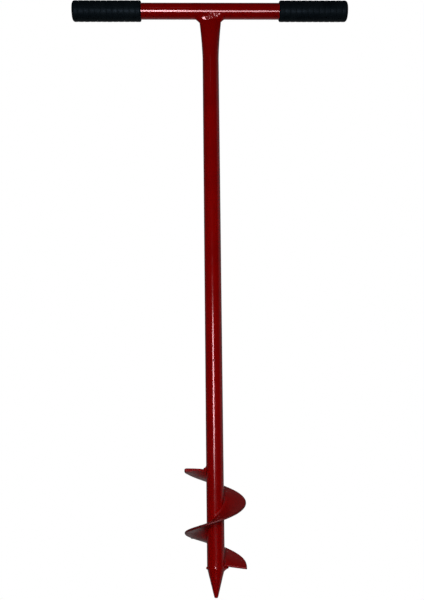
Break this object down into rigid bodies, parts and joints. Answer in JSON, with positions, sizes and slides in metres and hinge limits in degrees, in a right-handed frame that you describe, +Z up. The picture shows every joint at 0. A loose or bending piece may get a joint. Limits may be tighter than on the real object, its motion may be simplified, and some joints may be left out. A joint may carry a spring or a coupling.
{
  "type": "hand earth auger",
  "caption": "Hand earth auger with a T handle, turned by hand to bore holes for fence posts: a pointed steel tube shaft with a welded helical blade, and black grips.",
  "frame": {"origin": "tip of the point, on the shaft's axis", "axes": "+Z up the shaft, X along the crossbar with +X on the side of the blade's leading edge, +Y away from the viewer"},
  "size_m": [0.482, 0.098, 1.004],
  "materials": {
    "red_enamel": "gloss",
    "grip_rubber": "satin"
  },
  "bodies": {
    "root": {"crossbar": "red_enamel", "shaft": "red_enamel", "flight": "red_enamel", "point": "red_enamel", "left_grip": "grip_rubber", "right_grip": "grip_rubber", "handle_weld": "red_enamel", "flight_weld": "red_enamel", "foot_weld": "red_enamel", "point_weld": "red_enamel"}
  },
  "joints": []
}
